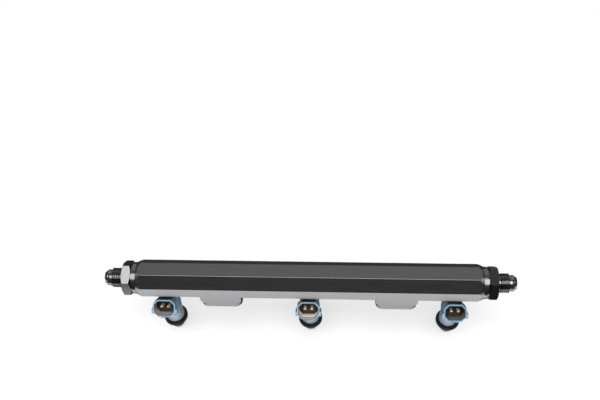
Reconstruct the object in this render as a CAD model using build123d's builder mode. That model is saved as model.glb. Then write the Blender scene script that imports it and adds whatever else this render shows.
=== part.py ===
from build123d import *
import math
import os

os.makedirs("parts", exist_ok=True)

# Fuel rail for one bank of a six-cylinder engine: an octagonal bar with a bore from end to end,
# three injectors hanging below it, a hose adapter in each end and two slotted brackets.
# Millimetres. +X runs along the rail, +Y points to the bracket tabs and +Z is up. The pieces are
# drawn about the bore axis, with x = 0 above the middle injector. They are written in the mounting
# frame, whose origin is midway between the two bolts on the plane under the bracket tabs.

# Rail bar, as long as the injectors' row and what each adapter needs beyond it
rail_width = 25.0
injector_pitch = 105.5
end_margin = 18.3
rail_length = 2 * (injector_pitch + end_margin)
rail_edge_radius = 0.5
end_cone_small_diameter = 23.8
end_cone_angle = 26.0
collar_diameter = 23.0
collar_length = 2.7
bore_diameter = 17.5
port_thread_diameter = 19.05
port_thread_depth = 14.0
port_seat_diameter = 20.0
port_seat_depth = 2.4

# Pads and bosses left standing under the bar
base_drop = 1.5
boss_flat = 18.0
boss_runout_radius = 12.0
boss_outer_reach = 7.0
pocket_diameter = 11.5
pocket_lead_in = 0.6
pocket_top_depth = 6.0
bracket_pitch = 127.0
pad_width = 29.8
pad_corner_radius = 5.0

# Hose adapters
adapter_shank_length = 11.0
adapter_shank_chamfer = 0.8
adapter_undercut_length = 2.4
washer_face_diameter = 21.0
washer_face_thickness = 1.0
hex_across_flats = 22.2
hex_thickness = 6.6
hex_chamfer_angle = 30.0
hex_cut_margin = 1.0
left_hex_turn = 70.0
right_hex_turn = 38.5
relief_diameter = 11.8
relief_length = 1.6
male_thread_diameter = 14.29
male_thread_length = 7.0
male_thread_chamfer = 0.6
nose_groove_diameter = 11.0
nose_groove_length = 0.9
nose_diameter = 11.6
nose_land = 1.9
flare_half_angle = 37.0
flare_length = 2.2
adapter_bore_diameter = 7.6
port_ring_section = 2.2

# Brackets
plate_thickness = 4.2
plate_corner_radius = 5.0
root_start = 3.0
root_fillet = 2.0
tab_drop = 5.4
tab_thickness = 7.0
tab_end_width = 26.0
tab_reach = 14.6
tab_corner_radius = 6.0
tab_edge_chamfer = 0.8
slot_distance = 7.6
slot_inset = 2.5
slot_pocket_length = 16.4
slot_pocket_width = 11.6
slot_pocket_depth = 3.5
slot_length = 13.0
slot_width = 6.6

# Countersunk screws that hold a bracket to its pad
screw_diameter = 4.0
screw_head_diameter = 8.0
screw_length = 8.0
screw_spread = 13.0
screw_row_shift = 5.0
screw_socket_width = 2.5
screw_socket_depth = 1.2
screw_hole_clearance = 0.2
screw_hole_spare_depth = 0.6

# Mounting bolts
bolt_diameter = 6.0
bolt_neck_diameter = 5.4
bolt_length = 25.0
bolt_head_diameter = 10.0
bolt_head_height = 6.0
bolt_socket_width = 5.0
bolt_socket_depth = 3.0
bolt_edge_chamfer = 0.6
bolt_inset = 2.4
washer_diameter = 11.0
washer_hole_diameter = 6.4
washer_thickness = 1.1

# Injectors
inlet_rise = 5.6
inlet_flange_thickness = 1.2
inlet_flange_diameter = 9.6
inlet_groove_length = 2.8
inlet_bore_diameter = 5.2
upper_ring_section = 2.0
neck_diameter = 10.4
body_gap = 1.0
body_collar_diameter = 16.0
body_collar_length = 3.0
body_diameter = 14.4
body_length = 21.0
body_edge_chamfer = 0.8
body_foot_chamfer = 0.4
seat_plane_depth = 55.2
housing_diameter = 13.6
housing_cap_diameter = 11.2
housing_cap_length = 8.0
housing_band_diameter = 12.8
housing_band_length = 1.2
housing_band_drop = 7.0
housing_foot_chamfer = 0.6
stem_diameter = 9.8
stem_length = 13.0
stem_chamfer = 0.6
spigot_diameter = 6.8
spigot_length = 8.0
ring_groove_drop = 6.0
ring_groove_length = 2.8
ring_groove_diameter = 8.2
lower_ring_section = 2.4
tip_diameter = 6.8
tip_length = 3.0
tip_chamfer = 0.5
cushion_diameter = 18.0
cushion_thickness = 2.8
cushion_groove_diameter = 15.8
cushion_groove_width = 0.6
cushion_groove_depth = 0.5
cushion_groove_slope = 0.3
cushion_edge_chamfer = 0.4
filter_length = 8.0
filter_flange_thickness = 0.8
filter_tube_diameter = 3.6
filter_edge_chamfer = 0.4

# Injector connector
mouth_reach = 16.8
mouth_drop = 1.0
connector_angle = 40.0
shell_width = 16.2
shell_height = 13.0
shell_corner = 3.4
shell_corner_radius = 1.0
shell_wall = 1.25
shell_straight = 8.0
arm_length = 19.0
arm_end_width = 10.4
arm_end_height = 9.0
arm_end_corner = 2.4
socket_depth = 9.0
side_ear_proud = 1.2
side_ear_height = 3.4
side_ear_drop = 2.5
latch_width = 6.0
latch_height = 1.4
latch_start = 1.6
latch_length = 4.2
pin_width = 1.8
pin_thickness = 0.8
pin_spread = 5.0
pin_setback = 3.0
pin_embedded = 4.0
pin_tip_chamfer = 0.2

# Places worked out from the sizes above
rail_half = rail_width / 2
octagon_half_side = rail_half * math.tan(math.radians(22.5))
octagon_radius = rail_half / math.cos(math.radians(22.5))
base_z = -(rail_half + base_drop)
collar_face = rail_length / 2 + collar_length
pocket_radius = pocket_diameter / 2
injector_stations = {"left": -injector_pitch, "middle": 0.0, "right": injector_pitch}
bracket_stations = {"left": -bracket_pitch / 2, "right": bracket_pitch / 2}
slot_y = rail_half + slot_distance
plate_underside = base_z - plate_thickness
tab_top = base_z - tab_drop
tab_underside = tab_top - tab_thickness
pocket_floor = tab_top - slot_pocket_depth
screw_places = [(-screw_spread / 2, -screw_row_shift), (screw_spread / 2, -screw_row_shift)]
mounting_frame = Location((0, -slot_y, -tab_underside))


def save(piece, name, seat=Location((0, 0, 0))):
    """Write a copy of a finished piece, moved to its seat and into the mounting frame."""
    seated = piece.part.moved(mounting_frame * seat)
    seated.label = name
    export_step(seated, f"parts/{name}.step")


def turned(outline, axis=Axis.Z):
    """A turned piece from a closed outline of (radius, height), or (length, radius) about X."""
    with BuildPart() as piece:
        with BuildSketch(Plane.XZ):
            with BuildLine():
                Polyline(outline, close=True)
            make_face()
        revolve(axis=axis)
    return piece


def round_ring(centre_radius, section, height=0.0):
    """A rubber ring of round section about Z."""
    with BuildPart() as ring:
        with Locations((0, 0, height)):
            Torus(centre_radius, section / 2)
    return ring


# The bar is an octagon turned to a cone and a collar at each end. The stock under it is milled
# away except for two bracket pads and three injector bosses, and each boss is cut back on its
# outer side, where the injector's connector stands.
cone_small_radius = end_cone_small_diameter / 2
cone_large_radius = octagon_radius + base_drop
cone_run = (cone_large_radius - cone_small_radius) / math.tan(math.radians(end_cone_angle))
boss_height = -octagon_half_side - base_z
boss_runout = math.sqrt(2 * boss_runout_radius * boss_height - boss_height**2)
boss_half_length = boss_flat / 2 + boss_runout
pad_places = [(x, base_z / 2) for x in bracket_stations.values()]
envelope_radius = 2 * rail_width

with BuildSketch(Plane.XZ) as boss_profile:
    with BuildLine():
        Line((-boss_flat / 2, base_z), (boss_flat / 2, base_z))
        TangentArc(
            (boss_half_length, -octagon_half_side), (boss_flat / 2, base_z), tangent=(-1, 0)
        )
        TangentArc(
            (-boss_half_length, -octagon_half_side), (-boss_flat / 2, base_z), tangent=(1, 0)
        )
        Polyline(
            (boss_half_length, -octagon_half_side),
            (boss_half_length, 0),
            (-boss_half_length, 0),
            (-boss_half_length, -octagon_half_side),
        )
    make_face()

with BuildPart() as rail_body:
    with BuildSketch(Plane.YZ):
        RegularPolygon(rail_half, 8, major_radius=False, rotation=22.5)
    extrude(amount=rail_length / 2, both=True)
    fillet(rail_body.edges().filter_by(Axis.X), rail_edge_radius)

    with BuildSketch(Plane.XZ) as pads:
        with Locations(*pad_places):
            Rectangle(pad_width, -base_z)
        fillet(pads.vertices().group_by(Axis.Y)[0], pad_corner_radius)
    extrude(amount=rail_half, both=True)

    with BuildSketch(Plane.XZ.offset(boss_outer_reach)):
        with Locations(*[(x, 0) for x in injector_stations.values()]):
            add(boss_profile.sketch_local)
    extrude(amount=-(boss_outer_reach + rail_half))

    with BuildSketch(Plane.XZ):
        with BuildLine():
            Polyline(
                (-rail_length / 2, 0),
                (-rail_length / 2, cone_small_radius),
                (-rail_length / 2 + cone_run, cone_large_radius),
                (-rail_length / 2 + cone_run, envelope_radius),
                (rail_length / 2 - cone_run, envelope_radius),
                (rail_length / 2 - cone_run, cone_large_radius),
                (rail_length / 2, cone_small_radius),
                (rail_length / 2, 0),
                close=True,
            )
        make_face()
    revolve(axis=Axis.X, mode=Mode.INTERSECT)

    for side in (-1, 1):
        with BuildSketch(Plane.YZ.offset(side * rail_length / 2)):
            Circle(collar_diameter / 2)
        extrude(amount=side * collar_length)
    Cylinder(bore_diameter / 2, 2 * collar_face, rotation=(0, 90, 0), mode=Mode.SUBTRACT)
    for side in (-1, 1):
        with BuildSketch(Plane.YZ.offset(side * collar_face)):
            Circle(port_thread_diameter / 2)
        extrude(amount=-side * port_thread_depth, mode=Mode.SUBTRACT)
        with BuildSketch(Plane.YZ.offset(side * collar_face)):
            Circle(port_seat_diameter / 2)
        extrude(amount=-side * port_seat_depth, mode=Mode.SUBTRACT)

    with Locations(*[(x, 0, base_z) for x in injector_stations.values()]):
        Cylinder(
            pocket_radius,
            -base_z - pocket_top_depth,
            align=(Align.CENTER, Align.CENTER, Align.MIN),
            mode=Mode.SUBTRACT,
        )
        Cone(
            pocket_radius + pocket_lead_in,
            pocket_radius,
            pocket_lead_in,
            align=(Align.CENTER, Align.CENTER, Align.MIN),
            mode=Mode.SUBTRACT,
        )
    for station in bracket_stations.values():
        with Locations(*[(station + x, y, base_z) for x, y in screw_places]):
            Cylinder(
                screw_diameter / 2,
                screw_length - plate_thickness + screw_hole_spare_depth,
                align=(Align.CENTER, Align.CENTER, Align.MIN),
                mode=Mode.SUBTRACT,
            )
save(rail_body, "rail_body")


# Hose adapter in its own frame: x = 0 where its washer face meets the collar, +X out of the rail.
hex_start = washer_face_thickness
hex_end = hex_start + hex_thickness
thread_start = hex_end + relief_length
thread_end = thread_start + male_thread_length
groove_end = thread_end + nose_groove_length
flare_start = groove_end + nose_land
adapter_tip = flare_start + flare_length
flare_small_radius = nose_diameter / 2 - flare_length * math.tan(math.radians(flare_half_angle))
undercut_radius = port_seat_diameter / 2 - port_ring_section
hex_corner_radius = hex_across_flats / 2 / math.cos(math.radians(30))
hex_cut_radius = hex_corner_radius + hex_cut_margin
hex_cut_rise = hex_cut_radius - hex_across_flats / 2
hex_cut_run = hex_cut_rise * math.tan(math.radians(hex_chamfer_angle))


def hose_adapter(hex_turn):
    """A port adapter with a hexagon and a flared male end; hex_turn is the angle of one flat."""
    shank_radius = port_thread_diameter / 2
    male_radius = male_thread_diameter / 2
    bore_radius = adapter_bore_diameter / 2
    with BuildPart() as adapter:
        with BuildSketch(Plane.XZ):
            with BuildLine():
                Polyline(
                    (-adapter_shank_length, bore_radius),
                    (-adapter_shank_length, shank_radius - adapter_shank_chamfer),
                    (-adapter_shank_length + adapter_shank_chamfer, shank_radius),
                    (-adapter_undercut_length, shank_radius),
                    (-adapter_undercut_length, undercut_radius),
                    (0, undercut_radius),
                    (0, washer_face_diameter / 2),
                    (hex_end, washer_face_diameter / 2),
                    (hex_end, relief_diameter / 2),
                    (thread_start, relief_diameter / 2),
                    (thread_start + male_thread_chamfer, male_radius),
                    (thread_end - male_thread_chamfer, male_radius),
                    (thread_end, male_radius - male_thread_chamfer),
                    (thread_end, nose_groove_diameter / 2),
                    (groove_end, nose_groove_diameter / 2),
                    (groove_end, nose_diameter / 2),
                    (flare_start, nose_diameter / 2),
                    (adapter_tip, flare_small_radius),
                    (adapter_tip, bore_radius),
                    close=True,
                )
            make_face()
        revolve(axis=Axis.X)
        with BuildSketch(Plane.YZ.offset(hex_start)):
            RegularPolygon(hex_across_flats / 2, 6, major_radius=False, rotation=hex_turn - 30)
            Circle(bore_radius, mode=Mode.SUBTRACT)
        extrude(amount=hex_thickness)
        for hex_face, inward in ((hex_start, 1), (hex_end, -1)):
            with BuildSketch(Plane.XZ):
                with BuildLine():
                    Polyline(
                        (hex_face, hex_across_flats / 2),
                        (hex_face, hex_cut_radius),
                        (hex_face + inward * hex_cut_run, hex_cut_radius),
                        close=True,
                    )
                make_face()
            revolve(axis=Axis.X, mode=Mode.SUBTRACT)
    return adapter


adapter_seats = {
    "left": Location((-collar_face, 0, 0), (0, 0, 180)),
    "right": Location((collar_face, 0, 0)),
}
hex_turns = {"left": left_hex_turn, "right": right_hex_turn}
for side, seat in adapter_seats.items():
    save(hose_adapter(hex_turns[side]), f"{side}_hose_adapter", seat)
    port_ring = round_ring(undercut_radius + port_ring_section / 2, port_ring_section)
    ring_seat = seat * Location((-port_seat_depth / 2, 0, 0), (0, 90, 0))
    save(port_ring, f"{side}_port_o_ring", ring_seat)


# Bracket in its own frame: x = 0 on the pad's centre line. The slot lies nearer the rail's middle.
def rail_bracket(middle):
    """A milled plate under the pad, a deep root and a slotted tab; middle is +1 or -1 along X."""
    with BuildPart() as bracket:
        with BuildSketch(Plane.XY.offset(tab_top)) as tab:
            with BuildLine():
                Polyline(
                    (-pad_width / 2, rail_half),
                    (pad_width / 2, rail_half),
                    (tab_end_width / 2, rail_half + tab_reach),
                    (-tab_end_width / 2, rail_half + tab_reach),
                    close=True,
                )
            make_face()
            fillet(tab.vertices().group_by(Axis.Y)[-1], tab_corner_radius)
        extrude(amount=-tab_thickness)
        top_rim = bracket.faces().sort_by(Axis.Z)[-1].outer_wire().edges()
        tab_rim = top_rim.filter_by(lambda edge: edge.center().Y > rail_half + tab_edge_chamfer)
        chamfer(tab_rim, tab_edge_chamfer)

        with BuildSketch(Plane.XY.offset(tab_top)):
            with Locations((middle * slot_inset, slot_y)):
                SlotOverall(slot_pocket_length, slot_pocket_width)
        extrude(amount=-slot_pocket_depth, mode=Mode.SUBTRACT)
        with BuildSketch(Plane.XY.offset(tab_top)):
            with Locations((middle * slot_inset, slot_y)):
                SlotOverall(slot_length, slot_width)
        extrude(amount=-tab_thickness, mode=Mode.SUBTRACT)

        with BuildSketch(Plane.XY.offset(base_z)):
            with Locations((0, (root_start + rail_half) / 2)):
                Rectangle(pad_width, rail_half - root_start)
        extrude(amount=tab_underside - base_z)
        with BuildSketch(Plane.XY.offset(base_z)) as plate:
            Rectangle(pad_width, rail_width)
            fillet(plate.vertices().group_by(Axis.Y)[0], plate_corner_radius)
        extrude(amount=-plate_thickness)
        inner_corner = Vector(0, root_start, plate_underside)
        fillet(bracket.edges().filter_by(Axis.X).sort_by_distance(inner_corner)[0], root_fillet)
        with Locations(*[Location((x, y, plate_underside), (180, 0, 0)) for x, y in screw_places]):
            CounterSinkHole(
                screw_diameter / 2 + screw_hole_clearance,
                screw_head_diameter / 2,
                depth=plate_thickness,
                counter_sink_angle=90,
            )
    return bracket


def bracket_screws():
    """The two countersunk screws of one bracket, driven from below."""
    head_height = (screw_head_diameter - screw_diameter) / 2
    with BuildPart() as screws:
        with Locations(*[(x, y, plate_underside) for x, y in screw_places]):
            Cone(
                screw_head_diameter / 2,
                screw_diameter / 2,
                head_height,
                align=(Align.CENTER, Align.CENTER, Align.MIN),
            )
            Cylinder(
                screw_diameter / 2, screw_length, align=(Align.CENTER, Align.CENTER, Align.MIN)
            )
        with BuildSketch(Plane.XY.offset(plate_underside)):
            with Locations(*screw_places):
                RegularPolygon(screw_socket_width / 2, 6, major_radius=False)
        extrude(amount=screw_socket_depth, mode=Mode.SUBTRACT)
    return screws


def mounting_bolt():
    """A socket-head bolt; z = 0 under its head. Its plain neck ends level with the tab's underside."""
    head_radius = bolt_head_diameter / 2
    thread_radius = bolt_diameter / 2
    neck_end = -(washer_thickness + tab_thickness - slot_pocket_depth)
    with BuildPart() as bolt:
        with BuildSketch(Plane.XZ):
            with BuildLine():
                Polyline(
                    (0, -bolt_length),
                    (thread_radius - bolt_edge_chamfer, -bolt_length),
                    (thread_radius, -bolt_length + bolt_edge_chamfer),
                    (thread_radius, neck_end),
                    (bolt_neck_diameter / 2, neck_end),
                    (bolt_neck_diameter / 2, 0),
                    (head_radius, 0),
                    (head_radius, bolt_head_height - bolt_edge_chamfer),
                    (head_radius - bolt_edge_chamfer, bolt_head_height),
                    (0, bolt_head_height),
                    close=True,
                )
            make_face()
        revolve(axis=Axis.Z)
        with BuildSketch(Plane.XY.offset(bolt_head_height)):
            RegularPolygon(bolt_socket_width / 2, 6, major_radius=False)
        extrude(amount=-bolt_socket_depth, mode=Mode.SUBTRACT)
    return bolt


def bolt_washer():
    """A flat washer; z = 0 on its underside."""
    with BuildPart() as washer:
        with BuildSketch():
            Circle(washer_diameter / 2)
            Circle(washer_hole_diameter / 2, mode=Mode.SUBTRACT)
        extrude(amount=washer_thickness)
    return washer


for side, x in bracket_stations.items():
    middle = -math.copysign(1, x)
    bolt_x = x + middle * (slot_inset + bolt_inset)
    save(rail_bracket(middle), f"{side}_bracket", Location((x, 0, 0)))
    save(bracket_screws(), f"{side}_bracket_screws", Location((x, 0, 0)))
    save(bolt_washer(), f"{side}_bolt_washer", Location((bolt_x, slot_y, pocket_floor)))
    bolt_seat = Location((bolt_x, slot_y, pocket_floor + washer_thickness))
    save(mounting_bolt(), f"{side}_mounting_bolt", bolt_seat)


# Injector in its own frame: its axis is Z, z = 0 on the bore axis, the connector points to -Y.
inlet_top = base_z + inlet_rise
inlet_groove_radius = pocket_radius - upper_ring_section
inlet_groove_top = inlet_top - inlet_flange_thickness
inlet_groove_bottom = inlet_groove_top - inlet_groove_length
inlet_bore_radius = inlet_bore_diameter / 2
body_top = base_z - body_gap
body_bottom = body_top - body_length
housing_top = body_bottom + housing_cap_length
housing_foot = -seat_plane_depth
housing_radius = housing_diameter / 2
stem_radius = stem_diameter / 2
stem_end = housing_foot - stem_length
ring_groove_radius = ring_groove_diameter / 2
ring_groove_top = housing_foot - ring_groove_drop
ring_groove_bottom = ring_groove_top - ring_groove_length
cushion_bottom = housing_foot - cushion_thickness
mouth_centre = (0, -mouth_reach, base_z - mouth_drop)
mouth_direction = (
    0,
    -math.cos(math.radians(connector_angle)),
    math.sin(math.radians(connector_angle)),
)
mouth = Plane(origin=mouth_centre, x_dir=(1, 0, 0), z_dir=mouth_direction)


latch_side = Plane(origin=mouth_centre, x_dir=mouth_direction, z_dir=(1, 0, 0))


def connector_section(depth, width, height, corner):
    """The connector's eight-sided outline, at a depth behind the mouth."""
    with BuildSketch(mouth.offset(-depth)) as section:
        Rectangle(width, height)
        chamfer(section.vertices(), corner)
        fillet(section.vertices(), shell_corner_radius)
    return section


# The moulded body is turned round the axis and carries a connector shell on a tapered arm. The
# shell has an ear down each side and a latch ramp under it, and its socket is cut to a floor.
straight_back = connector_section(shell_straight, shell_width, shell_height, shell_corner)
arm_back = connector_section(arm_length, arm_end_width, arm_end_height, arm_end_corner)
socket_corner = shell_corner - shell_wall * (2 - math.sqrt(2))
socket_floor = connector_section(
    socket_depth, shell_width - 2 * shell_wall, shell_height - 2 * shell_wall, socket_corner
)

with BuildPart() as injector_body:
    with BuildSketch(Plane.XZ):
        with BuildLine():
            Polyline(
                (0, inlet_groove_bottom),
                (neck_diameter / 2, inlet_groove_bottom),
                (neck_diameter / 2, body_top),
                (body_collar_diameter / 2, body_top),
                (body_collar_diameter / 2, body_top - body_collar_length),
                (body_diameter / 2, body_top - body_collar_length - body_edge_chamfer),
                (body_diameter / 2, body_bottom + body_foot_chamfer),
                (body_diameter / 2 - body_foot_chamfer, body_bottom),
                (0, body_bottom),
                close=True,
            )
        make_face()
    revolve(axis=Axis.Z)

    extrude(straight_back.sketch, amount=shell_straight)
    loft([straight_back.sketch.face(), arm_back.sketch.face()])
    with BuildSketch(mouth.offset(-shell_straight)):
        with Locations((0, -side_ear_drop)):
            Rectangle(shell_width + 2 * side_ear_proud, side_ear_height)
    extrude(amount=shell_straight)
    with BuildSketch(latch_side):
        with BuildLine():
            Polyline(
                (-latch_start, shell_height / 2 - shell_wall / 2),
                (-latch_start, shell_height / 2 + latch_height),
                (-latch_start - latch_length, shell_height / 2),
                (-latch_start - latch_length, shell_height / 2 - shell_wall / 2),
                close=True,
            )
        make_face()
    extrude(amount=latch_width / 2, both=True)
    extrude(socket_floor.sketch, amount=socket_depth, mode=Mode.SUBTRACT)

    with BuildSketch(Plane.XZ):
        with BuildLine():
            Polyline(
                (0, inlet_top),
                (inlet_groove_radius, inlet_top),
                (inlet_groove_radius, housing_top),
                (housing_cap_diameter / 2, housing_top),
                (housing_cap_diameter / 2, body_bottom),
                (0, body_bottom),
                close=True,
            )
        make_face()
    revolve(axis=Axis.Z, mode=Mode.SUBTRACT)

    with BuildSketch(mouth.offset(-socket_depth)):
        with GridLocations(pin_spread, 0, 2, 1):
            Rectangle(pin_width, pin_thickness)
    extrude(amount=-pin_embedded, mode=Mode.SUBTRACT)

with BuildPart() as terminal_pins:
    with BuildSketch(mouth.offset(-socket_depth - pin_embedded)):
        with GridLocations(pin_spread, 0, 2, 1):
            Rectangle(pin_width, pin_thickness)
    extrude(amount=socket_depth + pin_embedded - pin_setback)
    tips = terminal_pins.faces().sort_by(Axis(mouth_centre, mouth_direction))[-2:]
    chamfer(tips.edges(), pin_tip_chamfer)

inlet_tube = turned(
    [
        (inlet_bore_radius, housing_top),
        (inlet_groove_radius, housing_top),
        (inlet_groove_radius, inlet_groove_top),
        (inlet_flange_diameter / 2, inlet_groove_top),
        (inlet_flange_diameter / 2, inlet_top - inlet_flange_thickness / 2),
        (inlet_flange_diameter / 2 - inlet_flange_thickness / 2, inlet_top),
        (inlet_bore_radius, inlet_top),
    ]
)

filter_flange_radius = inlet_bore_radius + filter_flange_thickness
inlet_filter = turned(
    [
        (0, inlet_top - filter_length),
        (filter_tube_diameter / 2 - filter_edge_chamfer, inlet_top - filter_length),
        (filter_tube_diameter / 2, inlet_top - filter_length + filter_edge_chamfer),
        (filter_tube_diameter / 2, inlet_top - filter_length / 2),
        (inlet_bore_radius, inlet_top - filter_length / 2 + filter_flange_thickness),
        (inlet_bore_radius, inlet_top),
        (filter_flange_radius, inlet_top),
        (filter_flange_radius, inlet_top + filter_flange_thickness / 2),
        (filter_tube_diameter / 2, inlet_top + filter_flange_thickness / 2),
        (filter_tube_diameter / 2 - filter_edge_chamfer, inlet_top),
        (0, inlet_top),
    ]
)

band_top = body_bottom - housing_band_drop
housing = turned(
    [
        (0, housing_top),
        (housing_cap_diameter / 2, housing_top),
        (housing_cap_diameter / 2, body_bottom),
        (housing_radius, body_bottom),
        (housing_radius, band_top),
        (housing_band_diameter / 2, band_top),
        (housing_band_diameter / 2, band_top - housing_band_length),
        (housing_radius, band_top - housing_band_length),
        (housing_radius, housing_foot + housing_foot_chamfer),
        (housing_radius - housing_foot_chamfer, housing_foot),
        (spigot_diameter / 2, housing_foot),
        (spigot_diameter / 2, housing_foot + spigot_length),
        (0, housing_foot + spigot_length),
    ]
)

nozzle = turned(
    [
        (0, housing_foot + spigot_length),
        (spigot_diameter / 2, housing_foot + spigot_length),
        (spigot_diameter / 2, housing_foot),
        (stem_radius, housing_foot),
        (stem_radius, ring_groove_top),
        (ring_groove_radius, ring_groove_top),
        (ring_groove_radius, ring_groove_bottom),
        (stem_radius, ring_groove_bottom),
        (stem_radius, stem_end + stem_chamfer),
        (stem_radius - stem_chamfer, stem_end),
        (tip_diameter / 2, stem_end),
        (tip_diameter / 2, stem_end - tip_length + tip_chamfer),
        (tip_diameter / 2 - tip_chamfer, stem_end - tip_length),
        (0, stem_end - tip_length),
    ]
)

cushion_groove_inner = (cushion_groove_diameter - cushion_groove_width) / 2
cushion_groove_outer = cushion_groove_inner + cushion_groove_width
cushion = turned(
    [
        (stem_radius, housing_foot),
        (cushion_groove_inner - cushion_groove_slope, housing_foot),
        (cushion_groove_inner, housing_foot - cushion_groove_depth),
        (cushion_groove_outer, housing_foot - cushion_groove_depth),
        (cushion_groove_outer + cushion_groove_slope, housing_foot),
        (cushion_diameter / 2 - cushion_edge_chamfer, housing_foot),
        (cushion_diameter / 2, housing_foot - cushion_edge_chamfer),
        (cushion_diameter / 2, cushion_bottom + cushion_edge_chamfer),
        (cushion_diameter / 2 - cushion_edge_chamfer, cushion_bottom),
        (stem_radius, cushion_bottom),
    ]
)

upper_ring = round_ring(
    inlet_groove_radius + upper_ring_section / 2,
    upper_ring_section,
    inlet_groove_top - inlet_groove_length / 2,
)
lower_ring = round_ring(
    ring_groove_radius + lower_ring_section / 2,
    lower_ring_section,
    ring_groove_top - ring_groove_length / 2,
)

injector_pieces = {
    "injector_body": injector_body,
    "injector_pins": terminal_pins,
    "inlet_tube": inlet_tube,
    "inlet_filter": inlet_filter,
    "injector_housing": housing,
    "injector_nozzle": nozzle,
    "upper_o_ring": upper_ring,
    "lower_o_ring": lower_ring,
    "injector_cushion": cushion,
}
for station, x in injector_stations.items():
    seat = Location((x, 0, 0))
    for name, piece in injector_pieces.items():
        save(piece, f"{station}_{name}", seat)
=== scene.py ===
import math

import bpy
import numpy as np
from mathutils import Matrix, Vector


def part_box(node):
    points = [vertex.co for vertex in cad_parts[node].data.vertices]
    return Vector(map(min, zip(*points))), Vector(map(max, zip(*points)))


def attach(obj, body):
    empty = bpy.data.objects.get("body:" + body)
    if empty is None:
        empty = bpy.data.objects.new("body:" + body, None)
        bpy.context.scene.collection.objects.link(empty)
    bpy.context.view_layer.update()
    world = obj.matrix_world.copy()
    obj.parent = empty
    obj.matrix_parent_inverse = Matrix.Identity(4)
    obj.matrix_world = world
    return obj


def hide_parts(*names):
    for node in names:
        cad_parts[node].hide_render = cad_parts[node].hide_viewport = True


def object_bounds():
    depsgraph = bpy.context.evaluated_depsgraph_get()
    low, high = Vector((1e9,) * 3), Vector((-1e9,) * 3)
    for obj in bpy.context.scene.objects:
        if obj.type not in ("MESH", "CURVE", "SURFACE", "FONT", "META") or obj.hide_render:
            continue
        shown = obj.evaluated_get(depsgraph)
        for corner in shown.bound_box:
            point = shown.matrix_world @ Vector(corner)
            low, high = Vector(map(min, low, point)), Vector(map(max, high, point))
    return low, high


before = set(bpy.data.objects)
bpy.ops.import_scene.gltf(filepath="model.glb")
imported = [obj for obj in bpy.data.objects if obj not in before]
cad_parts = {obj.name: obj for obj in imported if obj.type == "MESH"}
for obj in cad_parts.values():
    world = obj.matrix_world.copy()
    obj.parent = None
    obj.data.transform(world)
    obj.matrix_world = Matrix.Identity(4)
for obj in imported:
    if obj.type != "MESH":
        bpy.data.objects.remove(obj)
cad_low, cad_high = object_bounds()

# Places in the row's frame, in millimetres

MM = 0.001
BAR_WIDTH = 25.0
INJECTOR_PITCH = 105.5
BOLT_SPACING = 117.2

bar_low, bar_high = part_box("rail_body")
BORE_Y = (bar_low[1] + bar_high[1]) / 2 / MM
BORE_Z = bar_high[2] / MM - BAR_WIDTH / 2
COLLAR_FACE = bar_high[0] / MM
INJECTORS = {"left": -INJECTOR_PITCH, "middle": 0.0, "right": INJECTOR_PITCH}


# Turned surfaces, in millimetres and degrees

RING_POINTS = 180
SHARP_ANGLE = 28.0
CHAMFER_MARGIN = 0.06
THREAD_STEP = 0.085
THREAD_LEAD = 0.6
CREST_SHARE = 0.12
FLANK_SHARE = 0.72


def add_piece(name, vertices, faces, material, replaced):
    """Puts worked-out points, in millimetres in the row's frame, and faces into a mesh that rides on the
    root."""
    mesh = bpy.data.meshes.new(name)
    mesh.from_pydata((vertices * MM).tolist(), [], faces)
    mesh.polygons.foreach_set("use_smooth", np.ones(len(mesh.polygons), bool))
    mesh.set_sharp_from_angle(angle=math.radians(SHARP_ANGLE))
    mesh.materials.append(material)
    mesh.update()
    piece = bpy.data.objects.new(name, mesh)
    bpy.context.scene.collection.objects.link(piece)
    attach(piece, "root")
    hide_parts(*replaced)


def ring_angles(turn=0.0):
    """Angles of the points on one ring, the first of them on the middle of a hexagon's flat."""
    return turn + np.arange(RING_POINTS) * 2 * math.pi / RING_POINTS


def round_rows(outline):
    """Rings of a turned stretch, one at each (place, radius) of the outline, with the same radius all
    round."""
    points = np.array(outline, float)
    along = np.repeat(points[:, :1], RING_POINTS, axis=1)
    radius = np.repeat(points[:, 1:], RING_POINTS, axis=1)
    return along, radius


def hexagon_radius(across_flats):
    """Radius round a hexagon: half the flats / cosine of the angle from the nearest flat's middle."""
    angle = ring_angles()
    from_flat = (angle + math.pi / 6) % (math.pi / 3) - math.pi / 6
    return across_flats / 2 / np.cos(from_flat)


def hexagon_rows(places, across_flats):
    """Rings of a plain hexagon at each place along the axis."""
    along = np.repeat(np.array(places, float)[:, None], RING_POINTS, axis=1)
    radius = np.repeat(hexagon_radius(across_flats)[None, :], len(places), axis=0)
    return along, radius


def chamfered_hexagon_rows(start, end, across_flats, slope):
    """Rings of a hexagon turned off at both ends: a circle just inside the flats, then the curve in which
    the cone meets the flats, depth = (radius - the circle's) * tan(slope), and the same mirrored at the far
    end."""
    radius = hexagon_radius(across_flats)
    circle = np.full(RING_POINTS, across_flats / 2 - CHAMFER_MARGIN)
    depth = (radius - circle) * math.tan(math.radians(slope))
    first = np.full(RING_POINTS, start)
    last = np.full(RING_POINTS, end)
    along = np.stack([first, start + depth, end - depth, last])
    return along, np.stack([circle, radius, radius, circle])


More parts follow.
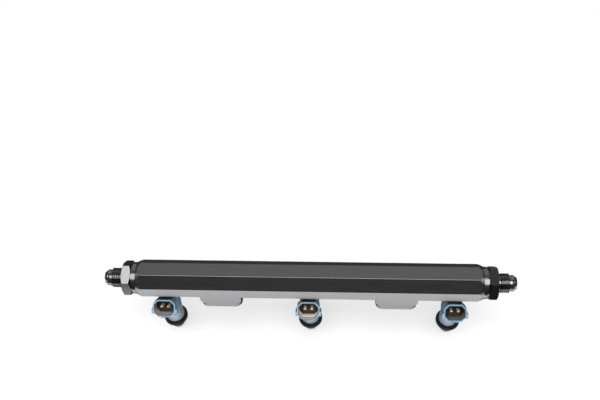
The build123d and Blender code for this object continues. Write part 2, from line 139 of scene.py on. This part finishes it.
def thread_rows(start, end, crest_radius, depth, pitch, turn=0.0):
    """Rings of a screw thread: radius = crest - depth * a trapezoid wave of (place / pitch - angle / full
    turn), never more than a cone that rises from the root over the lead at each end. The crest and the
    flank are shares of half a pitch, and the root has the rest."""
    places = np.linspace(start, end, int((end - start) / THREAD_STEP) + 1)[:, None]
    angle = ring_angles(turn)[None, :]
    phase = (places / pitch - angle / (2 * math.pi)) % 1.0
    from_crest = np.abs(phase - 0.5) * 2
    wave = np.clip((from_crest - CREST_SHARE) / FLANK_SHARE, 0, 1)
    root_radius = crest_radius - depth
    inward = np.minimum(places - start, end - places)
    cone = root_radius + depth * np.clip(inward / THREAD_LEAD, 0, 1)
    along = np.repeat(places, RING_POINTS, axis=1)
    return along, np.minimum(crest_radius - depth * wave, cone)


def neighbours(ring):
    """Each point of a ring with the next one."""
    return zip(ring.tolist(), np.roll(ring, -1).tolist())


def ringed_surface(stretches, turn, closed):
    """Points (along, sideways, up) of stacked rings, at radius * cos(angle) and radius * sin(angle) from
    the axis, and the faces between them. A closed surface joins its last ring to its first, and an open one
    ends in a fan at each end."""
    along = np.concatenate([places for places, _ in stretches])
    radius = np.concatenate([radii for _, radii in stretches])
    angle = ring_angles(turn)[None, :]
    points = np.stack([along, radius * np.cos(angle), radius * np.sin(angle)], axis=2).reshape(-1, 3)
    grid = np.arange(len(points)).reshape(-1, RING_POINTS)
    lower = grid if closed else grid[:-1]
    upper = np.roll(grid, -1, axis=0) if closed else grid[1:]
    quads = np.stack([lower, np.roll(lower, -1, axis=1), np.roll(upper, -1, axis=1), upper], axis=2)
    faces = quads.reshape(-1, 4).tolist()
    if not closed:
        first = len(points)
        last = first + 1
        points = np.concatenate([points, [[along[0, 0], 0, 0], [along[-1, 0], 0, 0]]])
        faces += [[first, after, before] for before, after in neighbours(grid[0])]
        faces += [[last, before, after] for before, after in neighbours(grid[-1])]
    return points, faces


# Materials

COOLNESS = 0.003
MILLED_BEYOND = 9.0
DARKER_STEEL = 0.82
SMOOTHER_RINGS = 0.75
ROUGHER_RINGS = 1.3
RUBBER_TINT = 1.04
DARKER_RUBBER = 0.7
DUSTY_RUBBER = 1.5
MESH_THREAD = 0.0003


def map_range(tree, value, start, end, low, high):
    """Maps a value from start..end onto low..high."""
    node = tree.nodes.new("ShaderNodeMapRange")
    tree.links.new(value, node.inputs["Value"])
    for socket, number in (("From Min", start), ("From Max", end), ("To Min", low), ("To Max", high)):
        node.inputs[socket].default_value = number
    return node.outputs["Result"]


class Finish:
    """A procedural material being built: its nodes, its Principled shader and Object coordinates."""

    def __init__(self, name, colour, roughness, metallic=0.0, **sockets):
        self.material = bpy.data.materials.new(name)
        self.material.use_nodes = True
        self.tree = self.material.node_tree
        self.nodes = self.tree.nodes
        self.links = self.tree.links
        self.shader = self.nodes["Principled BSDF"]
        self.shader.inputs["Base Color"].default_value = (*colour, 1)
        self.shader.inputs["Roughness"].default_value = roughness
        self.shader.inputs["Metallic"].default_value = metallic
        for socket, value in sockets.items():
            self.shader.inputs[socket.replace("_", " ")].default_value = value
        self.place = self.nodes.new("ShaderNodeTexCoord").outputs["Object"]
        self.normal = None

    def mapped(self, location=(0, 0, 0), rotation=(0, 0, 0), scale=(1, 1, 1)):
        """Object coordinates in moved and turned axes, counted in units of the scale."""
        node = self.nodes.new("ShaderNodeMapping")
        node.vector_type = "TEXTURE"
        self.links.new(self.place, node.inputs["Vector"])
        node.inputs["Location"].default_value = location
        node.inputs["Rotation"].default_value = rotation
        node.inputs["Scale"].default_value = scale
        return node.outputs["Vector"]

    def noise(self, vector, scale=1.0, detail=4.0, roughness=0.55):
        """Fractal noise; scale counts its features in one unit of the vector."""
        node = self.nodes.new("ShaderNodeTexNoise")
        self.links.new(vector, node.inputs["Vector"])
        node.inputs["Scale"].default_value = scale
        node.inputs["Detail"].default_value = detail
        node.inputs["Roughness"].default_value = roughness
        return node.outputs["Fac"]

    def ramp(self, value, stops):
        """A colour ramp from (place, colour) stops."""
        node = self.nodes.new("ShaderNodeValToRGB")
        self.links.new(value, node.inputs["Fac"])
        for element, (place, colour) in zip(node.color_ramp.elements, stops):
            element.position = place
            element.color = (*colour, 1)
        return node.outputs["Color"]

    def spread(self, value, low, high, start=0.3, end=0.7):
        """Maps a value from start..end onto low..high; most noise lies between 0.3 and 0.7."""
        return map_range(self.tree, value, start, end, low, high)

    def maths(self, operation, first, second=None):
        """One Math node; its inputs are sockets or numbers."""
        node = self.nodes.new("ShaderNodeMath")
        node.operation = operation
        for socket, value in zip(node.inputs, (first, second)):
            if value is None:
                continue
            if isinstance(value, (int, float)):
                socket.default_value = value
            else:
                self.links.new(value, socket)
        return node.outputs["Value"]

    def split(self, vector):
        """The x, y and z of a vector."""
        node = self.nodes.new("ShaderNodeSeparateXYZ")
        self.links.new(vector, node.inputs["Vector"])
        return node.outputs["X"], node.outputs["Y"], node.outputs["Z"]

    def band(self, value, low, high):
        """1 where a value lies between low and high, and 0 elsewhere."""
        above = self.maths("GREATER_THAN", value, low)
        below = self.maths("LESS_THAN", value, high)
        return self.maths("MULTIPLY", above, below)

    def outside_octagon(self, wide, tall, octagon):
        """1 outside an octagon, from places given as distances from its middle. The octagon is its half
        width, its half height, and the sum of both distances along a cut corner."""
        outside = 0.0
        for distance, limit in zip((wide, tall, self.maths("ADD", wide, tall)), octagon):
            outside = self.maths("MAXIMUM", self.maths("GREATER_THAN", distance, limit), outside)
        return outside

    def mix(self, factor, first, second):
        """A colour between two colours."""
        node = self.nodes.new("ShaderNodeMix")
        node.data_type = "RGBA"
        self.links.new(factor, node.inputs["Factor"])
        for socket, value in ((node.inputs["A"], first), (node.inputs["B"], second)):
            if isinstance(value, tuple):
                socket.default_value = (*value, 1)
            else:
                self.links.new(value, socket)
        return node.outputs["Result"]

    def bump(self, height, depth, strength=0.5):
        """Adds relief of a depth in metres to the shading normal."""
        node = self.nodes.new("ShaderNodeBump")
        self.links.new(height, node.inputs["Height"])
        node.inputs["Distance"].default_value = depth
        node.inputs["Strength"].default_value = strength
        if self.normal is not None:
            self.links.new(self.normal, node.inputs["Normal"])
        self.normal = node.outputs["Normal"]
        self.links.new(self.normal, self.shader.inputs["Normal"])

    def colour_from(self, socket):
        """Drives the base colour."""
        self.links.new(socket, self.shader.inputs["Base Color"])

    def roughness_from(self, socket):
        """Drives the roughness."""
        self.links.new(socket, self.shader.inputs["Roughness"])

    def emission(self, strength):
        """A white glow; the strength is a socket or a number."""
        node = self.nodes.new("ShaderNodeEmission")
        if isinstance(strength, (int, float)):
            node.inputs["Strength"].default_value = strength
        else:
            self.links.new(strength, node.inputs["Strength"])
        return node.outputs["Emission"]

    def mix_shader(self, factor, first, second):
        """A shader between two shaders."""
        node = self.nodes.new("ShaderNodeMixShader")
        for socket, source in zip(node.inputs, (factor, first, second)):
            self.links.new(source, socket)
        return node.outputs["Shader"]


def cool_grey(tone):
    """A grey with a trace of blue, as black anodise has."""
    return (tone, tone, tone + COOLNESS)


def anodised_bar():
    """Satin black anodised aluminium: cutter marks along the bar and a fine etched grain."""
    finish = Finish("satin_black_anodise", cool_grey(0.145), 0.21, metallic=1.0)
    grain = finish.noise(finish.place, scale=5200, detail=3)
    marks = finish.noise(finish.mapped(scale=(0.02, 0.0006, 0.0006)), detail=4)
    tone = finish.maths("MULTIPLY", grain, marks)
    finish.colour_from(finish.ramp(tone, [(0.12, cool_grey(0.125)), (0.42, cool_grey(0.165))]))
    finish.roughness_from(finish.spread(marks, 0.18, 0.24))
    finish.bump(grain, depth=0.00001)
    finish.bump(marks, depth=0.000006, strength=0.6)
    return finish.material


def anodised_fitting():
    """Brighter black anodise over turned aluminium, with fine rings round the axis. The milled hexagon and
    the shank, which lie at a larger radius, are darker."""
    finish = Finish("bright_black_anodise", cool_grey(0.135), 0.13, metallic=1.0)
    rings = finish.noise(finish.mapped(scale=(0.0003, 0.02, 0.02)), detail=3)
    grain = finish.noise(finish.place, scale=2600, detail=3)
    _, y, z = finish.split(finish.mapped(location=(0, BORE_Y * MM, BORE_Z * MM), scale=(MM, MM, MM)))
    squares = finish.maths("ADD", finish.maths("MULTIPLY", y, y), finish.maths("MULTIPLY", z, z))
    radius = finish.maths("SQRT", squares)
    milled = finish.ramp(grain, [(0.3, cool_grey(0.105)), (0.7, cool_grey(0.145))])
    turned = finish.ramp(grain, [(0.3, cool_grey(0.17)), (0.7, cool_grey(0.21))])
    finish.colour_from(finish.mix(finish.maths("GREATER_THAN", radius, MILLED_BEYOND), turned, milled))
    finish.roughness_from(finish.spread(rings, 0.08, 0.13))
    finish.bump(rings, depth=0.000004)
    return finish.material


def bare_metal(name, colour, roughness, ring_scale, metallic=1.0):
    """Turned metal: rings across the axis, which stands along Z, and small changes of tone."""
    finish = Finish(name, colour, roughness, metallic)
    rings = finish.noise(finish.mapped(scale=(0.03, 0.03, ring_scale)), detail=3)
    cloud = finish.noise(finish.place, scale=420, detail=4)
    dark = tuple(DARKER_STEEL * channel for channel in colour)
    finish.colour_from(finish.ramp(cloud, [(0.3, dark), (0.7, colour)]))
    finish.roughness_from(finish.spread(rings, roughness * SMOOTHER_RINGS, roughness * ROUGHER_RINGS))
    finish.bump(rings, depth=0.00001)
    return finish.material


def rubber(name, tone):
    """Moulded black rubber: a dull skin with a fine grain and paler dust in its hollows."""
    finish = Finish(name, (tone, tone, tone * RUBBER_TINT), 0.55, Specular_IOR_Level=0.3)
    grain = finish.noise(finish.place, scale=2400, detail=5)
    cloud = finish.noise(finish.place, scale=240, detail=4)
    dark = (tone * DARKER_RUBBER,) * 3
    dusty = (tone * DUSTY_RUBBER,) * 3
    finish.colour_from(finish.ramp(cloud, [(0.3, dark), (0.75, dusty)]))
    finish.roughness_from(finish.spread(grain, 0.45, 0.68))
    finish.bump(grain, depth=0.00003)
    return finish.material


# Injector connector, in millimetres in its own axes: u across, v up along the mouth and w out of it

MOUTH_REACH = 16.8
MOUTH_DEPTH = 15.0
MOUTH_LEAN = 40.0
SOCKET_OCTAGON = (6.95, 5.35, 9.65)
RIM_OCTAGON = (7.35, 5.75, 10.15)
SOCKET_FLOOR = -9.3
RIM_BACK = -0.3
RIM_FRONT = 0.1
DEEP_SHADE = (-8.6, -5.2)
TOP_SHADE = (5.4, 6.3)
TOP_SHADE_FRONT = -0.6
TOP_SHADE_SHARE = 0.75
SHELL_BLUE = [(0.3, (0.09, 0.17, 0.26)), (0.7, (0.2, 0.34, 0.47))]
# Painted shade on the inner side of the mouth's edge, and a painted highlight on its outer side
RIM_PAINTED_SHADE = (0.05, 0.08, 0.11)
RIM_PAINTED_HIGHLIGHT = (0.27, 0.44, 0.56)
# Painted shade on the top of the shell
TOP_PAINTED_SHADE = (0.04, 0.035, 0.03)
# Painted shade deep in the socket, towards its floor
DEEP_PAINTED_SHADE = (0.012, 0.011, 0.01)
# Tan of the bare moulding inside the socket; its tone at each station is painted light and shade, lit in
# the middle and shaded at the left and more so at the right
LINING_WITH_PAINTED_LIGHT = {"left": (0.44, 0.36, 0.29), "middle": (0.95, 0.82, 0.68), "right": (0.15, 0.14, 0.13)}


def connector_plastic(station):
    """Blue glass-filled plastic. Round the mouth its edge carries a painted highlight, with painted shade
    on the inner side of the edge. Inside the socket it turns to the tan of the bare moulding, painted
    lighter or darker at each station as light and shade, and towards the floor to painted shade. The top of
    the shell carries painted shade."""
    finish = Finish(f"{station}_blue_plastic", (0.1, 0.18, 0.27), 0.3)
    grain = finish.noise(finish.place, scale=1900, detail=5)
    cloud = finish.noise(finish.place, scale=160, detail=3)
    centre = Vector((INJECTORS[station], BORE_Y - MOUTH_REACH, BORE_Z - MOUTH_DEPTH)) * MM
    turn = (math.pi / 2 - math.radians(MOUTH_LEAN), 0, 0)
    u, v, w = finish.split(finish.mapped(tuple(centre), turn, (MM, MM, MM)))
    wide = finish.maths("ABSOLUTE", u)
    tall = finish.maths("ABSOLUTE", v)

    beyond_socket = finish.outside_octagon(wide, tall, SOCKET_OCTAGON)
    within_socket = finish.maths("SUBTRACT", 1.0, beyond_socket)
    inside = finish.maths("MULTIPLY", within_socket, finish.band(w, SOCKET_FLOOR, RIM_BACK))
    # The lining darkens to painted shade towards the socket's floor
    lining = finish.mix(finish.spread(w, 0, 1, *DEEP_SHADE), DEEP_PAINTED_SHADE, LINING_WITH_PAINTED_LIGHT[station])
    # The mouth's edge: painted shade on its inner side, painted highlight round its outside
    edge = finish.mix(finish.outside_octagon(wide, tall, RIM_OCTAGON), RIM_PAINTED_SHADE, RIM_PAINTED_HIGHLIGHT)
    # Painted shade on the top of the shell, behind the mouth's front
    top = finish.spread(v, 0, TOP_SHADE_SHARE, *TOP_SHADE)
    above = finish.maths("MULTIPLY", top, finish.maths("LESS_THAN", w, TOP_SHADE_FRONT))

    shell = finish.mix(above, finish.ramp(cloud, SHELL_BLUE), TOP_PAINTED_SHADE)
    shell = finish.mix(finish.band(w, RIM_BACK, RIM_FRONT), shell, edge)
    finish.colour_from(finish.mix(inside, shell, lining))
    finish.roughness_from(finish.spread(grain, 0.2, 0.32))
    finish.bump(grain, depth=0.00002)
    return finish.material


def strainer():
    """Pale nylon mesh: a square weave of threads, sin(x + y) * sin(z)."""
    finish = Finish("nylon_mesh", (0.6, 0.56, 0.46), 0.6)
    x, y, z = finish.split(finish.mapped(scale=(MESH_THREAD, MESH_THREAD, MESH_THREAD)))
    upright_threads = finish.maths("SINE", finish.maths("ADD", x, y))
    level_threads = finish.maths("SINE", z)
    weave = finish.maths("MULTIPLY", upright_threads, level_threads)
    tone = finish.spread(weave, 0, 1, start=-1, end=1)
    finish.colour_from(finish.ramp(tone, [(0.25, (0.3, 0.27, 0.2)), (0.6, (0.66, 0.62, 0.52))]))
    finish.bump(weave, depth=0.00005, strength=0.6)
    return finish.material


BAR = anodised_bar()
FITTING = anodised_fitting()
HOUSING = bare_metal("blue_grey_housing", (0.48, 0.54, 0.61), 0.36, ring_scale=0.0004, metallic=0.4)
NOZZLE = bare_metal("bead_blasted_steel", (0.6, 0.61, 0.63), 0.42, ring_scale=0.0005, metallic=0.5)
STEEL = bare_metal("turned_steel", (0.62, 0.63, 0.65), 0.3, ring_scale=0.0004)
ZINC = bare_metal("zinc_plated_steel", (0.72, 0.72, 0.71), 0.24, ring_scale=0.0006)
BLACK_STEEL = bare_metal("black_oxide_steel", (0.07, 0.07, 0.075), 0.35, ring_scale=0.0006)
BRASS = bare_metal("tinned_brass", (0.95, 0.78, 0.56), 0.42, ring_scale=0.0008, metallic=0.25)
RUBBER = rubber("seal_rubber", 0.014)
CUSHION = rubber("cushion_rubber", 0.009)
MESH = strainer()

NODE_FINISH = {
    "rail_body": BAR,
    "bracket": BAR,
    "bracket_screws": BLACK_STEEL,
    "bolt_washer": ZINC,
    "injector_pins": BRASS,
    "inlet_tube": STEEL,
    "inlet_filter": MESH,
    "injector_housing": HOUSING,
    "injector_nozzle": NOZZLE,
    "o_ring": RUBBER,
    "injector_cushion": CUSHION,
}
for station in INJECTORS:
    NODE_FINISH[f"{station}_injector_body"] = connector_plastic(station)

for name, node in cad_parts.items():
    finish = next((material for ending, material in NODE_FINISH.items() if name.endswith(ending)), None)
    if finish is not None:
        node.data.materials.clear()
        node.data.materials.append(finish)


# Hose adapter: places count outward from the collar's face, radii from the axis of the bore

ADAPTER_BORE = 3.8
SHANK_END = -11.0
SHANK_RADIUS = 9.5
SHANK_CHAMFER = 0.8
SEAL_GROOVE_START = -2.4
SEAL_GROOVE_RADIUS = 7.8
WASHER_RADIUS = 10.5
WASHER_FACE = 1.0
HEXAGON_END = 7.6
HEXAGON_FLATS = 22.2
HEXAGON_SLOPE = 30.0
RELIEF_RADIUS = 5.9
HOSE_THREAD_START = 9.2
HOSE_THREAD_END = 16.2
HOSE_THREAD_RADIUS = 7.145
HOSE_THREAD_DEPTH = 1.05
HOSE_THREAD_PITCH = 1.411
NOSE_START = 17.1
NOSE_GROOVE_RADIUS = 5.5
NOSE_RADIUS = 5.8
LAND_END = 18.9
FLARE_START = 19.1
FLARE_RADIUS = 5.72
TIP = 21.2
TIP_RADIUS = 4.14
CORNER = 0.1
HEXAGON_TURN = {"left": 70.0, "right": 38.5}


def hose_adapter(side, outward):
    """A turned fitting on the bore axis: shank, seal groove, washer face, hexagon chamfered at both ends,
    relief, screw thread, groove, land and flared nose. Outward is -1 at the left end and 1 at the right."""
    turn = math.radians(HEXAGON_TURN[side])
    shank = [
        (SHANK_END, ADAPTER_BORE),
        (SHANK_END, SHANK_RADIUS - SHANK_CHAMFER),
        (SHANK_END + SHANK_CHAMFER, SHANK_RADIUS),
        (SEAL_GROOVE_START, SHANK_RADIUS),
        (SEAL_GROOVE_START, SEAL_GROOVE_RADIUS),
        (0, SEAL_GROOVE_RADIUS),
        (0, WASHER_RADIUS),
        (WASHER_FACE, WASHER_RADIUS),
    ]
    relief = [
        (HEXAGON_END, RELIEF_RADIUS + CORNER),
        (HEXAGON_END + CORNER, RELIEF_RADIUS),
        (HOSE_THREAD_START, RELIEF_RADIUS),
    ]
    nose = [
        (HOSE_THREAD_END, NOSE_GROOVE_RADIUS),
        (NOSE_START, NOSE_GROOVE_RADIUS),
        (NOSE_START, NOSE_RADIUS - CORNER),
        (NOSE_START + CORNER, NOSE_RADIUS),
        (LAND_END, NOSE_RADIUS),
        (FLARE_START, FLARE_RADIUS),
        (TIP, TIP_RADIUS),
        (TIP, ADAPTER_BORE),
    ]
    thread = (HOSE_THREAD_START, HOSE_THREAD_END, HOSE_THREAD_RADIUS, HOSE_THREAD_DEPTH, HOSE_THREAD_PITCH)
    stretches = [
        round_rows(shank),
        chamfered_hexagon_rows(WASHER_FACE, HEXAGON_END, HEXAGON_FLATS, HEXAGON_SLOPE),
        round_rows(relief),
        thread_rows(*thread, turn),
        round_rows(nose),
    ]
    points, faces = ringed_surface(stretches, turn, closed=True)
    x = outward * (COLLAR_FACE + points[:, 0])
    y = BORE_Y + outward * points[:, 1]
    z = BORE_Z + points[:, 2]
    placed = np.stack([x, y, z], axis=1)
    replaced = [f"{side}_hose_adapter"]
    add_piece(f"{side}_threaded_adapter", placed, faces, FITTING, replaced)


# Mounting bolt: places count up from the plane under the bracket tabs, radii from the bolt's axis

BOLT_RADIUS = 3.0
BOLT_END = -20.4
BOLT_END_RADIUS = 2.3
BOLT_THREAD_DEPTH = 0.42
BOLT_THREAD_PITCH = 1.0
NECK_RADIUS = 2.7
NECK_END_RADIUS = 2.55
HEAD_BOTTOM = 4.6
HEAD_TOP = 10.6
HEAD_RADIUS = 5.0
HEAD_EDGE = 0.6
HEAD_EDGE_MIDDLE = (10.45, 4.75)
SOCKET_FLOOR_PLACE = 7.6
SOCKET_BEVEL = 10.4
SOCKET_FLATS = 5.0
SOCKET_MOUTH_RADIUS = 3.15


def mounting_bolt(side, x):
    """A socket-head bolt: the socket's floor, its hexagon, the rounded head, the neck and the thread."""
    head = [
        (HEAD_TOP, SOCKET_MOUTH_RADIUS),
        (HEAD_TOP, HEAD_RADIUS - HEAD_EDGE),
        HEAD_EDGE_MIDDLE,
        (HEAD_TOP - HEAD_EDGE, HEAD_RADIUS),
        (HEAD_BOTTOM + CORNER, HEAD_RADIUS),
        (HEAD_BOTTOM, HEAD_RADIUS - CORNER),
        (HEAD_BOTTOM, NECK_RADIUS),
        (CORNER, NECK_RADIUS),
        (0, NECK_END_RADIUS),
    ]
    along, radius = thread_rows(BOLT_END, 0, BOLT_RADIUS, BOLT_THREAD_DEPTH, BOLT_THREAD_PITCH)
    stretches = [
        hexagon_rows([SOCKET_FLOOR_PLACE, SOCKET_BEVEL], SOCKET_FLATS),
        round_rows(head),
        (along[::-1], radius[::-1]),
        round_rows([(BOLT_END, BOLT_END_RADIUS)]),
    ]
    points, faces = ringed_surface(stretches, 0.0, closed=False)
    placed = np.stack([x + points[:, 1], points[:, 2], points[:, 0]], axis=1)
    outward_faces = [face[::-1] for face in faces]
    replaced = [f"{side}_mounting_bolt"]
    add_piece(f"{side}_threaded_bolt", placed, outward_faces, ZINC, replaced)


hose_adapter("left", -1)
hose_adapter("right", 1)
mounting_bolt("left", -BOLT_SPACING / 2)
mounting_bolt("right", BOLT_SPACING / 2)


# Floor, in metres

FLOOR_REACH = 12.0
GROUND_GLOW = 2.7
BACK_GLOW = 0.085
FAR_GLOW = 0.08
CARD_BACK = (-0.076, -0.025)
CARD_FRONT = (-0.135, -0.09)
SHADOW_TONE = 0.5
SHADOW_LIFT = 0.5
SHADOW_FADE = (0.22, 0.6)


def ground_finish():
    """Matt pale ground. The camera sees it white, with the rail's soft shadow, which fades out away from
    the rail. In reflections it glows just in front of the rail and is dark elsewhere, as with a white card
    before the object and black ones round it."""
    finish = Finish("pale_ground", (0.82, 0.82, 0.82), 0.9, Specular_IOR_Level=0.1)
    _, y, _ = finish.split(finish.place)
    behind = finish.spread(y, GROUND_GLOW, BACK_GLOW, *CARD_BACK)
    before = finish.spread(y, FAR_GLOW, GROUND_GLOW, *CARD_FRONT)
    card = finish.emission(finish.maths("MINIMUM", behind, before))

    matt = finish.nodes.new("ShaderNodeBsdfDiffuse")
    matt.inputs["Color"].default_value = (SHADOW_TONE, SHADOW_TONE, SHADOW_TONE, 1)
    shaded = finish.nodes.new("ShaderNodeAddShader")
    finish.links.new(matt.outputs["BSDF"], shaded.inputs[0])
    finish.links.new(finish.emission(SHADOW_LIFT), shaded.inputs[1])
    distance = finish.nodes.new("ShaderNodeVectorMath")
    distance.operation = "LENGTH"
    finish.links.new(finish.place, distance.inputs[0])
    near = finish.spread(distance.outputs["Value"], 1.0, 0.0, *SHADOW_FADE)
    background = finish.mix_shader(near, finish.emission(1.0), shaded.outputs["Shader"])

    path = finish.nodes.new("ShaderNodeLightPath")
    mirrored = finish.mix_shader(path.outputs["Is Glossy Ray"], finish.shader.outputs["BSDF"], card)
    seen = finish.mix_shader(path.outputs["Is Camera Ray"], mirrored, background)
    finish.links.new(seen, finish.nodes["Material Output"].inputs["Surface"])
    return finish.material


floor_z = cad_low.z
corners = [(x * FLOOR_REACH, y * FLOOR_REACH, floor_z) for x, y in ((-1, -1), (1, -1), (1, 1), (-1, 1))]
floor_mesh = bpy.data.meshes.new("floor")
floor_mesh.from_pydata(corners, [], [(0, 1, 2, 3)])
floor_mesh.materials.append(ground_finish())
floor = bpy.data.objects.new("floor", floor_mesh)
bpy.context.scene.collection.objects.link(floor)


# Light, in metres, watts and degrees

ROOM_LIGHT = 0.16
PATCH_LIGHT = 0.74
PATCH_ELEVATION = 30.0
PATCH_EDGE = 0.62
PATCH_CORE = 0.86


def softbox(name, direction, distance, size, power):
    """A rectangular lamp facing the rail from a direction, its azimuth from the front and its elevation."""
    azimuth, elevation = (math.radians(angle) for angle in direction)
    level = math.cos(elevation)
    back = Vector((math.sin(azimuth) * level, -math.cos(azimuth) * level, math.sin(elevation)))
    lamp = bpy.data.lights.new(name, "AREA")
    lamp.shape = "RECTANGLE"
    lamp.size, lamp.size_y = size
    lamp.energy = power
    holder = bpy.data.objects.new(name, lamp)
    holder.location = Vector((0, BORE_Y * MM, 0)) + back * distance
    holder.rotation_mode = "QUATERNION"
    holder.rotation_quaternion = back.to_track_quat("Z", "Y")
    bpy.context.scene.collection.objects.link(holder)


def studio_world():
    """White to the camera. The room is dim, with a paler patch low behind the rail, which its top mirrors.
    The light rises with the cosine of the angle from the patch's middle, from its edge to its core."""
    world = bpy.data.worlds.new("studio")
    bpy.context.scene.world = world
    world.use_nodes = True
    tree = world.node_tree
    elevation = math.radians(PATCH_ELEVATION)
    direction = tree.nodes.new("ShaderNodeTexCoord")
    cosine = tree.nodes.new("ShaderNodeVectorMath")
    cosine.operation = "DOT_PRODUCT"
    tree.links.new(direction.outputs["Generated"], cosine.inputs[0])
    cosine.inputs[1].default_value = (0, math.cos(elevation), math.sin(elevation))
    room = map_range(tree, cosine.outputs["Value"], PATCH_EDGE, PATCH_CORE, ROOM_LIGHT, PATCH_LIGHT)
    path = tree.nodes.new("ShaderNodeLightPath")
    strength = tree.nodes.new("ShaderNodeMix")
    tree.links.new(path.outputs["Is Camera Ray"], strength.inputs["Factor"])
    tree.links.new(room, strength.inputs["A"])
    strength.inputs["B"].default_value = 1.0
    background = tree.nodes["Background"]
    background.inputs["Color"].default_value = (1, 1, 1, 1)
    tree.links.new(strength.outputs["Result"], background.inputs["Strength"])


softbox("overhead_soft", direction=(0, 68), distance=1.6, size=(1.3, 1.15), power=23.5)
softbox("left_soft", direction=(-80, 40), distance=1.8, size=(0.9, 0.9), power=8)
softbox("right_soft", direction=(80, 40), distance=1.8, size=(0.9, 0.9), power=6)
studio_world()


# Camera, fitted to the photograph's view of the bar; its place is counted from the middle of the bore

CAMERA_LENS = 48
SENSOR_WIDTH = 36
CAMERA_RIGHT = (0.99847, 0.03949, -0.03864)
CAMERA_UP = (-0.00933, 0.80983, 0.58659)
CAMERA_BACK = (0.05446, -0.58534, 0.80896)
CAMERA_PLACE = (24.82, -290.78, 500.34)

camera_data = bpy.data.cameras.new("camera")
camera_data.lens = CAMERA_LENS
camera_data.sensor_width = SENSOR_WIDTH
camera_data.clip_start = 0.05
camera_data.clip_end = 50
camera = bpy.data.objects.new("camera", camera_data)
camera.rotation_mode = "QUATERNION"
camera.rotation_quaternion = Matrix((CAMERA_RIGHT, CAMERA_UP, CAMERA_BACK)).transposed().to_quaternion()
camera.location = (Vector(CAMERA_PLACE) + Vector((0, BORE_Y, BORE_Z))) * MM
bpy.context.scene.collection.objects.link(camera)
bpy.context.scene.camera = camera
bpy.context.scene.view_settings.view_transform = "Standard"
